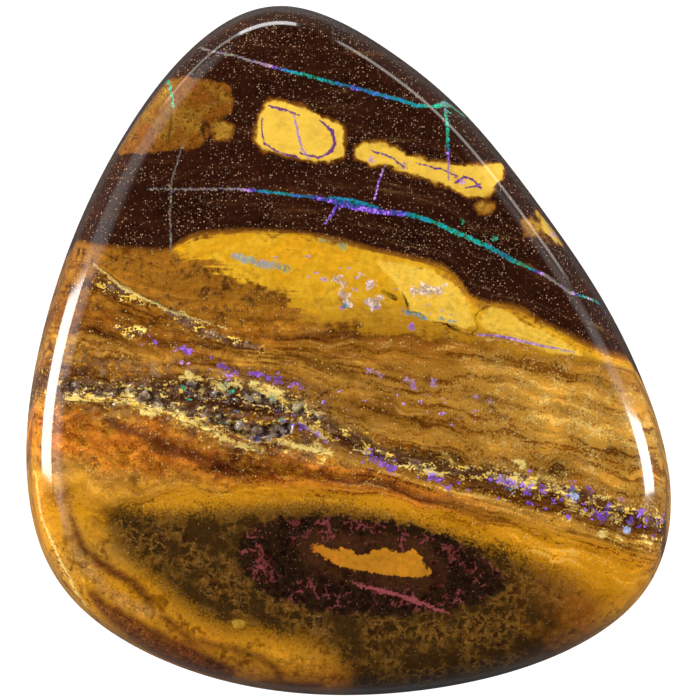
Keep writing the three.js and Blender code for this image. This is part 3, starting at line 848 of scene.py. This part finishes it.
class Recipe:
    """The nodes of a material or of the world, added one by one."""

    def __init__(self, owner):
        owner.use_nodes = True
        self.owner = owner
        self.tree = owner.node_tree
        self.tree.nodes.clear()

    def node(self, kind, settings=None, sockets=None, output=0):
        """Adds a node, sets it, then gives its sockets their values or links. Gives one of its outputs."""
        node = self.tree.nodes.new(kind)
        for name, value in (settings or {}).items():
            if name == "stops":
                self.set_stops(node.color_ramp.elements, value)
            else:
                setattr(node, name, value)
        for name, value in (sockets or {}).items():
            if isinstance(value, Signal):
                self.tree.links.new(value.socket, node.inputs[name])
            else:
                node.inputs[name].default_value = value
        return Signal(self, node.outputs[output]) if len(node.outputs) else None

    def set_stops(self, elements, stops):
        for place, _ in stops[2:]:
            elements.new(place)
        for element, (place, colour) in zip(elements, stops):
            element.position = place
            element.color = colour

    def field(self, name):
        """One of the mesh's own values."""
        return self.node("ShaderNodeAttribute", {"attribute_name": name}, output="Fac")

    def vector(self, operation, *values):
        return self.node("ShaderNodeVectorMath", {"operation": operation}, dict(enumerate(values)))

    def noise(self, place, size, detail=2.0, roughness=0.5):
        """Soft random values about 0, mostly between -0.5 and 0.5, for lumps of this size."""
        sockets = {"Vector": place, "Scale": 1 / size, "Detail": detail, "Roughness": roughness}
        return self.node("ShaderNodeTexNoise", {}, sockets) - 0.5

    def cells(self, place, size):
        """Random cells of this size: how far each place is from its cell's middle, and two random numbers."""
        distance = self.node("ShaderNodeTexVoronoi", {}, {"Vector": place, "Scale": 1 / size}, "Distance")
        luck = self.node("ShaderNodeSeparateColor", {}, {"Color": distance.output("Color")})
        return distance * size, luck, luck.output(1)

    def mix(self, under, over, share, blend="MIX"):
        return self.node("ShaderNodeMix", {"data_type": "RGBA", "blend_type": blend, "clamp_factor": True},
                         {0: share, 6: under, 7: over}, 2)

    def ramp(self, signal, stops):
        return self.node("ShaderNodeValToRGB", {"stops": stops}, {"Fac": signal})


class Coats:
    """A colour built up in coats. A coat is the name of one of the user's colours, a colour made by nodes,
    or other coats."""

    def __init__(self, recipe, paint, first):
        self.recipe = recipe
        self.paint = paint
        self.colour = self.made(first)

    def made(self, coat):
        if isinstance(coat, Coats):
            return coat.colour
        return self.paint(coat) if isinstance(coat, str) else coat

    def lay(self, coat, share):
        """Lays one more coat, as thick as its share of 1."""
        self.colour = self.recipe.mix(self.colour, self.made(coat), share)
        return self

    def shade(self, tint, share):
        """Multiplies what is there by a tint."""
        self.colour = self.recipe.mix(self.colour, (*tint, 1), share, "MULTIPLY")
        return self


def ironstone_material(colours):
    """Polished rock: its beds and grain, the yellow windows, the eye, the opal and the open cavities.
    Sizes and places are in pixels of the photograph."""
    rock = Recipe(bpy.data.materials.new("polished_ironstone"))

    def paint(name):
        return (*getattr(colours, name), 1.0)

    def coats(first):
        return Coats(rock, paint, first)

    def colour_ramp(signal, stops):
        return rock.ramp(signal, [(place, paint(name)) for place, name in stops])

    metres = rock.node("ShaderNodeTexCoord", output="Object")
    place = rock.vector("MULTIPLY", metres, (1 / PIXEL,) * 3)
    across = rock.node("ShaderNodeSeparateXYZ", {}, {"Vector": place})
    high = across.output(2)

    broad = rock.noise(place, 42)
    middling = rock.noise(place, 15)
    fine = rock.noise(place, 5.5)
    crumb = rock.noise(place, 2.3, 1.0)
    grains = fine * 0.6 + crumb

    # The beds, bent a little, with three cores of colour blended across the stone
    straight = rock.field("bed")
    bent = (broad * 22 + middling * 8) * (0.06 + straight.between(262, 350) * 0.94)
    level = straight + bent * 0.8
    bed = straight + bent + fine * 4 + crumb * 4
    left, middle, right = (
        colour_ramp(bed / PHOTO_SIDE, [(depth / PHOTO_SIDE, name) for depth, name in CORES[core]])
        for core in ("left", "middle", "right"))
    sideways = across + broad * 110 + middling * 50
    ground = coats(left).lay(middle, sideways.between(-190, -90)).lay(right, sideways.between(60, 190))
    dark_zone = bed.between(243, 237)

    def blot(name, wobble, soft):
        """How much a broad stroke covers."""
        return (rock.field(name) + (middling + grains) * wobble * 1.5).between(soft, -soft)

    def streaks(run, rise, detail=3.0):
        """Noise drawn out along the beds."""
        sheet = rock.node("ShaderNodeCombineXYZ", {}, {"X": across / run, "Y": level / rise, "Z": high / run})
        return rock.noise(sheet, 1.0, detail, 0.55)

    # Warmer streaks in the dark rock, and patches in the rust below the broken band
    long_streaks = streaks(150, 11)
    thin_streaks = streaks(52, 4.2)
    layers = long_streaks * 0.8 + thin_streaks * 0.8
    tufts = layers + grains * 0.5
    ground.lay("dark_warm", dark_zone * tufts.between(0.0, 0.3) * 0.35)
    rusty = bed.between(440, 462) * bed.between(506, 486) * sideways.between(60, -60)
    ground.lay("amber_brown", rusty * (middling + thin_streaks).between(0.04, -0.14) * 0.75)
    ground.lay("maroon", rusty * (middling + long_streaks + grains).between(0.1, 0.3) * 0.4)
    ground.lay("mauve_brown", blot("dusky", 10, 6) * (0.36 + grains))
    ground.lay("maroon", blot("maroon", 7, 4) * (0.88 + grains * 0.5))

    # The brightest part of the golden rock, and the mottled brown on its left
    glow = (rock.field("glow") + layers * 45 + middling * 20 + fine * 12).between(5, -5) * (1 - dark_zone)
    golden = coats("gold").lay("bright_gold", (broad + middling).between(-0.12, 0.12))
    ground.lay(golden.lay("ochre", (bed + middling * 30).between(284, 330) * 0.6), glow)
    mottled = bed.between(248, 262) * bed.between(392, 350) * sideways.between(-30, -110) * (1 - glow * 0.8)
    mottles = (middling + broad * 0.4 + fine * 0.9).between(0.06, 0.22)
    ground.lay("grain_brown", mottles * mottled * 0.5)

    # The halo, with a net of paler threads
    ragged_edge = middling * 24 + fine * 14 + crumb * 12
    halo = (rock.field("halo") + broad * 26 + middling * 18 + grains * 30).between(15, -15)
    halo = halo * (across + middling * 60 + grains * 60).between(-276, -226)
    olive = coats("olive").lay("olive_light", (broad * 0.3 + middling * 0.5 + grains).between(0.0, 0.4) * 0.5)
    ground.lay(olive.lay("rust", (across + broad * 120 + middling * 90).between(160, 260) * 0.6), halo)
    swirl = rock.node("ShaderNodeTexNoise", {}, {"Vector": place, "Scale": 1 / 8, "Detail": 3.0}, "Color")
    bent_place = rock.vector("ADD", place, rock.vector("MULTIPLY", swirl, (20, 20, 0)))
    net = rock.node(
        "ShaderNodeTexVoronoi", {"feature": "DISTANCE_TO_EDGE"}, {"Vector": bent_place, "Scale": 1 / 11})
    worms = (net + crumb * 0.3).between(0.24, 0.03) * halo * (broad + middling * 0.5).between(-0.12, 0.1)
    ground.lay("olive_light", worms * 0.8)

    # The eye, its pink threads and its heart
    eye_gap = rock.field("eye") + ragged_edge * 0.7
    eye = eye_gap.between(3, -3)
    near_heart = (rock.field("heart") + ragged_edge * 0.5).between(18, 8)
    pupil = coats("eye").lay("dark_warm", near_heart * 0.45)
    pupil.lay("olive", (net + grains * 0.5).between(0.26, 0.02) * 0.4)
    pupil.lay("maroon", (middling + grains * 0.8).between(0.08, 0.4) * (1 - near_heart))
    ground.lay(pupil, eye)
    rim = eye_gap.between(-36, -16) * eye_gap.between(2, -2)
    threads = (net + crumb * 0.2).between(0.16, 0.02) * rim * (middling + fine * 0.7).between(0.0, 0.14)
    ground.lay("rose", threads * (0.62 + grains))
    heart = (rock.field("heart") + 1.2 + ragged_edge * 0.36).between(1.0, -1.0)
    ground.lay(coats("heart").lay("rust", (across + middling * 60).between(-4, -30)), heart)

    # Yellow windows in the dark rock, and the brightest patches of the golden rock
    window_gap = rock.field("window") + middling * 10 + fine * 4
    window_tone = rock.field("window_tone")
    dull = window_tone.between(0.7, 0.1)
    pane = coats("lamina_dark").lay("window", window_tone + (broad + middling) * 0.5)
    pane.shade((0.3, 0.2, 0.14), (grains + middling * 0.4).between(0.02, 0.24) * dull * 0.8)
    pane.shade((1.5, 1.5, 1.3), grains.between(-0.04, -0.24) * dull * 0.6)
    ground.lay("margin", window_gap.between(4.5, 1.0) * dark_zone * 0.8)
    window = window_gap.between(1.6, -1.6) * (0.85 + dark_zone * 0.15 + middling)
    ground.lay(pane, window)
    ground.lay("maroon", blot("mauve", 9, 2) * (0.5 + grains * 2))

    # The broken band: brown rock with crumbs and yellow dabs
    matrix = blot("matrix", 9, 2)
    dabs = rock.noise(rock.vector("MULTIPLY", place, (0.6, 1.1, 1)), 6.5, 2.0) + crumb * 0.6
    brown = coats("grain_brown").lay("dark_rock", (grains + middling * 0.6).between(0.04, 0.24))
    ground.lay(brown.lay("maroon", sideways.between(0, 60) * 0.6), matrix * 0.8)
    _, crumb_luck, crumb_shade = rock.cells(bent_place, 5.4)
    crumbs = colour_ramp(crumb_luck + grains * 0.3, [
        (0, "grain_brown"), (1, "mauve_brown"), (0.22, "grain_brown"), (0.32, "mauve_brown"), (0.44, "lump"),
        (0.56, "window"), (0.72, "cream"), (0.86, "grain_brown")])
    lower_edge = straight + fine * 22
    upper_edge = lower_edge + middling * 18
    broken = upper_edge.between(388, 402) * lower_edge.between(474, 460) * sideways.between(40, -60)
    ground.lay(crumbs, matrix.most(broken * 0.75) * crumb_shade.between(0.2, 0.6) * 0.85)
    band = upper_edge.between(404, 420) * lower_edge.between(476, 462)
    ground.lay("grain_brown", band * dabs.between(-0.04, -0.2) * 0.7)
    cream = (rock.field("cream") + middling * 12 + fine * 16 + crumb * 12).between(1.5, -1.5)
    matrix_edge = (rock.field("matrix") + grains * 8).between(4, 1)
    cream = cream.most(band * dabs.between(0.16, 0.24)).most(matrix_edge * dabs.between(0.06, 0.16))
    ground.lay(coats("cream").lay("window", (grains + middling).between(-0.15, 0.2)), cream * 0.9)
    sandy = sideways.between(90, 200) * bed.between(330, 350) * bed.between(440, 415)
    ground.lay("cream", sandy * (middling + grains).between(0.0, 0.3) * 0.36)

    # Laminae, clouds and grain in the light of each place
    amber_band = bed.between(484, 494) * bed.between(530, 505) * 0.7
    clear = heart.most(window * 0.9).most(cream).most(glow * 0.85).most(amber_band)
    rough = 1 - clear * 0.85 - dark_zone * 0.25
    banded = (0.3 + bed.between(285, 345) * 0.7) * bed.between(520, 485)
    banded = banded * (1 - dark_zone * 0.6) * (1 - glow * 0.6)
    ground.shade((0.36, 0.24, 0.15), tufts.between(-0.02, -0.2) * banded)
    ground.shade((1.5, 1.5, 1.5), tufts.between(0.04, 0.2) * banded)
    ground.lay("cream", tufts.between(0.12, 0.3) * banded * sideways.between(-120, 120) * 0.5)
    clouds = (broad + middling * 0.9 + fine * 0.8) * (1 - banded * 0.6) + streaks(58, 15, 2.0) * banded * 1.3
    ground.shade((0.42, 0.34, 0.26), clouds.between(0.02, 0.34) * (0.25 + rough * 0.7))
    ground.shade((1.5, 1.45, 1.35), clouds.between(-0.02, -0.34) * (0.4 + rough * 0.5))
    ground.shade((0.4, 0.3, 0.24), grains.between(0.0, 0.34) * rough * 0.62)
    ground.shade((1.6, 1.6, 1.6), grains.between(0.0, -0.34) * rough * 0.62)

    # Clumps on the left, each darker round its edge
    clump_gap, clump_luck, _ = rock.cells(rock.vector("MULTIPLY", bent_place, (0.8, 1.15, 1)), 9.5)
    clumpy = banded * sideways.between(60, -120) * rough
    ground.shade((0.55, 0.42, 0.32), (clump_gap + fine * 6).between(3.2, 6.5) * clumpy * 0.6)
    ground.shade((1.4, 1.42, 1.4), clump_luck.between(0.45, 0.9) * clumpy * 0.6)

    def line(name, wobble, soft=0.6, keep=1.0):
        """How much a thin stroke covers, with this much of its width kept."""
        beside = abs(rock.field(name + "_beside") + (middling + fine) * wobble * 3)
        gap = beside - rock.field(name + "_half") * keep + grains * wobble * 4
        return gap.between(soft, -soft) * rock.field(name).between(3.6, 2.0)

    ground.lay("plum", line("plum", 0.8) * 0.95)
    ground.lay("dark_rock", line("ink", 1.2) * (0.6 + middling * 2 + grains))
    # Cream along two strokes: a pale line in the rock at the upper left, and a painted reflection along the
    # lower left rim
    ground.lay("cream", line("gilt", 1.5, keep=0.7) * (0.66 + grains * 1.6))
    ground.lay("rose", line("rose", 1.4) * 0.8)

    # Sand grains: pale grains painted brighter as the glints of light off the polished stone, then dark and
    # pale specks of the rock's own colour
    dark_rock = dark_zone * window_gap.between(0, 4)
    grain_gap, grain_luck, grain_shade = rock.cells(place, 2.1)
    shown = (dark_rock * 0.34 + halo * 0.14 + banded * 0.16 + 0.1) * (0.5 + broad.between(-0.2, 0.2))
    glint = (0.1 + grain_shade * grain_shade * 0.75) * (0.45 + dark_rock * 0.55 + banded * 0.35)
    ground.lay("grit", grain_gap.between(0.95, 0.25) * (grain_luck > 1 - shown * (1 - eye * 0.6)) * glint)
    speck_gap, speck_luck, speck_shade = rock.cells(place, 3.0)
    specks = speck_gap.between(1.4, 0.5) * (speck_luck > 0.6) * speck_shade * rough * (1 - dark_rock)
    ground.lay("maroon", specks * 0.7)
    pale_specks = speck_gap.between(1.0, 0.3) * (1 - speck_luck > 0.72) * banded
    ground.lay("cream", pale_specks * (middling + fine).between(-0.1, 0.12) * 0.8)

    # Open cavities: dark rock laid in more thickly the deeper they go, partly the rock inside them and partly
    # painted shade in their depths; grey opal lumps sit in them
    cavity = rock.field("cavity")
    hollow_and_shade = (cavity * (1 + grains * 5)).between(1.0, 6.0)
    ground.lay(coats("dark_rock").lay("grain_brown", grains.between(-0.3, 0.1)), hollow_and_shade * 0.35)
    lump = rock.field("lump").between(0.0, 0.7) * (cavity > 0.3) * (0.6 - grains * 2)
    ground.lay(coats("lump").lay("mauve_brown", (middling + fine).between(-0.15, 0.15)), lump)

    # Opal
    def opal(tone):
        last = len(OPAL_TONES) - 1
        colour = rock.ramp(tone / last, [(i / last, tint) for i, tint in enumerate(OPAL_TONES)])
        colour = coats(colour).shade((2.2, 2.2, 2.1), (fine + crumb).between(-0.02, -0.24))
        return colour.shade((0.4, 0.4, 0.5), (fine + crumb).between(0.06, 0.28) * 0.8)

    shimmer = fine * 4 + crumb * 3
    seam = line("seam", 0.7, 0.8, 0.75) * (middling * 0.7 + grains).between(0.45, 0.02)
    ground.lay(opal(rock.field("seam_tone") + shimmer), seam * 0.95)
    fleck = (rock.field("fleck") + middling * 8 + fine * 12 + crumb * 10).between(1.0, -1.0)
    ground.lay(opal(rock.field("fleck_tone") + shimmer * 0.3), fleck * (0.7 + crumb * 1.5))
    glint_gap, glint_luck, glint_size = rock.cells(rock.vector("MULTIPLY", place, (0.66, 1.1, 1)), 5.2)
    sparkle = rock.field("sparkle")
    glints = (glint_gap - glint_size * 1.4 + fine * 8 + crumb * 5).between(1.0, 0.0)
    glints = glints * (glint_luck > 1 - sparkle * 0.4) * (sparkle > 0.02)
    ground.lay(opal(rock.field("sparkle_tone") + shimmer * 0.3), glints * 0.8)

    below = high.between(118, 74)  # the wall and the back are less polished than the face
    bump = rock.node(
        "ShaderNodeBump", {}, {"Strength": 0.8, "Distance": 0.12 * MM, "Height": grains * hollow_and_shade})
    shader = rock.node("ShaderNodeBsdfPrincipled", {}, {
        "Base Color": ground.colour,
        "Roughness": 0.09 + hollow_and_shade * 0.5 + below * 0.14,
        "IOR": 1.55,
        "Normal": bump,
    })
    rock.node("ShaderNodeOutputMaterial", {}, {"Surface": shader})
    return rock.owner


# The pieces and the studio

def new_object(name, mesh, material):
    piece = bpy.data.objects.new(name, mesh)
    bpy.context.scene.collection.objects.link(piece)
    mesh.materials.append(material)
    return piece


class IRONSTONE_OT_stone(bpy.types.Operator):
    """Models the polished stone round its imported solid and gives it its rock."""

    bl_idname = "ironstone.stone"
    bl_label = "Polished stone"

    def execute(self, context):
        cut = context.scene.ironstone_cut
        low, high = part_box(NODE)
        shape, section = stone_mesh(cut, low, high)
        mesh = bpy.data.meshes.new("dressed_ironstone")
        places = np.array([vert.co for vert in shape.verts])
        shape.to_mesh(mesh)
        shape.free()
        for name, values in pattern_fields(places, section).items():
            mesh.attributes.new(name, "FLOAT", "POINT").data.foreach_set("value", values.astype(np.float32))
        piece = new_object("dressed_ironstone", mesh, ironstone_material(context.scene.ironstone_colours))
        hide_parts(NODE)
        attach(piece, "root")
        return {"FINISHED"}


WHITE = (1, 1, 1)
WARM = (1, 0.97, 0.9)

# Lamps as seen from the stone: name, then in degrees which way each lies, how high its lower and upper edges
# stand and how wide it looks, then its share of the side light, and its tint.
LAMPS = [
    ("left_lamp", 174, 1, 34, 22, 1, WHITE),
    ("right_lamp", 8, 4, 36, 15, 1.1, WHITE),
    ("back_lamp", 99, 1, 13, 36, 0.6, WHITE),
    ("right_strip", 49, 9, 18, 32, 0.26, WARM),
    ("left_strip", 127.5, 2, 9, 29, 0.22, WARM),
]
LAMP_DISTANCE = 0.2

# Soft bright places in the air: in degrees which way each lies, how high and how far it reaches, then how
# bright it is.
HAZE = [(149, 28, 27, 1.5), (17, 30, 24, 1.7), (177, 50, 18, 2.2)]
AIR_LIGHT = 0.02  # all round
LOW_AIR_LIGHT = 0.08  # added near the floor
FLOOR_PAINT = 0.14  # dull, so that the floor doesn't grey the stone's rim
FLOOR_DROP = 0.01 * MM  # below the stone's back, so that the two never share a plane


def towards(azimuth, lift):
    """The direction that lies this way and this high, in degrees."""
    turn, lift = radians(azimuth), radians(lift)
    return Vector((math.cos(turn) * math.cos(lift), math.sin(turn) * math.cos(lift), math.sin(lift)))


def softbox(name, azimuth, lowest, highest, across, brightness, tint):
    """A flat lamp that faces the stone, placed as one of the lamps above."""
    place = towards(azimuth, (lowest + highest) / 2) * LAMP_DISTANCE
    lamp = bpy.data.lights.new(name, "AREA")
    lamp.shape = "RECTANGLE"
    lamp.size = 2 * LAMP_DISTANCE * math.tan(radians(across) / 2)
    lamp.size_y = 2 * LAMP_DISTANCE * math.tan(radians(highest - lowest) / 2)
    lamp.energy = brightness * math.pi * lamp.size * lamp.size_y
    lamp.color = tint
    light = bpy.data.objects.new(name, lamp)
    light.location = place
    light.rotation_euler = (-place).to_track_quat("-Z", "Y").to_euler()
    bpy.context.scene.collection.objects.link(light)


def white_floor(width, height, glow):
    """A floor that only the camera sees shining white. It gives the stone little light."""
    shape = bmesh.new()
    bmesh.ops.create_grid(shape, x_segments=1, y_segments=1, size=width / 2)
    bmesh.ops.translate(shape, vec=(0, 0, height), verts=shape.verts)
    mesh = bpy.data.meshes.new("white_floor")
    shape.to_mesh(mesh)
    shape.free()
    paper = Recipe(bpy.data.materials.new("white_paper"))
    for_camera = paper.node("ShaderNodeLightPath", output="Is Camera Ray")
    shader = paper.node("ShaderNodeBsdfPrincipled", {}, {
        "Base Color": (FLOOR_PAINT, FLOOR_PAINT, FLOOR_PAINT, 1), "Roughness": 0.9, "Specular IOR Level": 0.1,
        "Emission Color": for_camera, "Emission Strength": glow})
    paper.node("ShaderNodeOutputMaterial", {}, {"Surface": shader})
    new_object("white_floor", mesh, paper.owner)


def studio_air():
    """The world's light: dim, a little brighter near the floor, with soft bright places that lie on the stone
    as haze."""
    air = Recipe(bpy.data.worlds.new("studio_air"))
    direction = air.node("ShaderNodeTexCoord", output="Generated")
    height = air.node("ShaderNodeSeparateXYZ", {}, {"Vector": direction}).output(2)
    strength = AIR_LIGHT + height.between(0.5, 0.05) * LOW_AIR_LIGHT
    for azimuth, lift, reach, brightness in HAZE:
        sockets = {0: direction, 1: towards(azimuth, lift)}
        closeness = air.node("ShaderNodeVectorMath", {"operation": "DOT_PRODUCT"}, sockets, "Value")
        strength = strength + closeness.between(math.cos(radians(reach)), 1) * brightness
    glow = air.node("ShaderNodeBackground", {}, {"Color": (1, 1, 1, 1), "Strength": strength})
    air.node("ShaderNodeOutputWorld", {}, {"Surface": glow})
    return air.owner


class IRONSTONE_OT_studio(bpy.types.Operator):
    """Sets up the white floor, the soft lamps and the camera over the stone."""

    bl_idname = "ironstone.studio"
    bl_label = "White studio"

    def execute(self, context):
        scene, studio = context.scene, context.scene.ironstone_studio
        low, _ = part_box(NODE)
        white_floor(studio.floor_width, low.z - FLOOR_DROP, studio.floor_glow)
        for name, azimuth, lowest, highest, across, share, tint in LAMPS:
            softbox(name, azimuth, lowest, highest, across, studio.side_light * share, tint)
        scene.world = studio_air()
        scene.view_settings.view_transform = "Standard"

        lens = bpy.data.cameras.new("camera")
        lens.lens = studio.camera_lens * 1000
        lens.sensor_width = 36
        camera = bpy.data.objects.new("camera", lens)
        distance = studio.picture_width * lens.lens / lens.sensor_width
        right, down = (PHOTO_SIDE / 2 - middle for middle in MIDDLE_PIXEL)
        camera.location = (right * PIXEL, -down * PIXEL, scene.ironstone_cut.girdle_height + distance)
        scene.collection.objects.link(camera)
        scene.camera = camera
        return {"FINISHED"}


class IRONSTONE_PT_panel(bpy.types.Panel):
    """The stone's pieces and its studio."""

    bl_idname = "IRONSTONE_PT_panel"
    bl_label = "Polished ironstone"
    bl_space_type = "VIEW_3D"
    bl_region_type = "UI"
    bl_category = "Ironstone"

    def draw(self, context):
        for operator, settings in (
            (IRONSTONE_OT_stone, (context.scene.ironstone_cut, context.scene.ironstone_colours)),
            (IRONSTONE_OT_studio, (context.scene.ironstone_studio,)),
        ):
            box = self.layout.box()
            for group in settings:
                for name in group.bl_rna.properties.keys():
                    if name not in ("rna_type", "name"):
                        box.prop(group, name)
            box.operator(operator.bl_idname)


CLASSES = (
    IRONSTONE_PG_cut,
    IRONSTONE_PG_colours,
    IRONSTONE_PG_studio,
    IRONSTONE_OT_stone,
    IRONSTONE_OT_studio,
    IRONSTONE_PT_panel,
)


def register():
    for cls in CLASSES:
        bpy.utils.register_class(cls)
    bpy.types.Scene.ironstone_cut = PointerProperty(type=IRONSTONE_PG_cut)
    bpy.types.Scene.ironstone_colours = PointerProperty(type=IRONSTONE_PG_colours)
    bpy.types.Scene.ironstone_studio = PointerProperty(type=IRONSTONE_PG_studio)


def unregister():
    del bpy.types.Scene.ironstone_studio
    del bpy.types.Scene.ironstone_colours
    del bpy.types.Scene.ironstone_cut
    for cls in reversed(CLASSES):
        bpy.utils.unregister_class(cls)


def main():
    register()
    bpy.ops.ironstone.stone()
    bpy.ops.ironstone.studio()


if __name__ == "__main__":
    main()
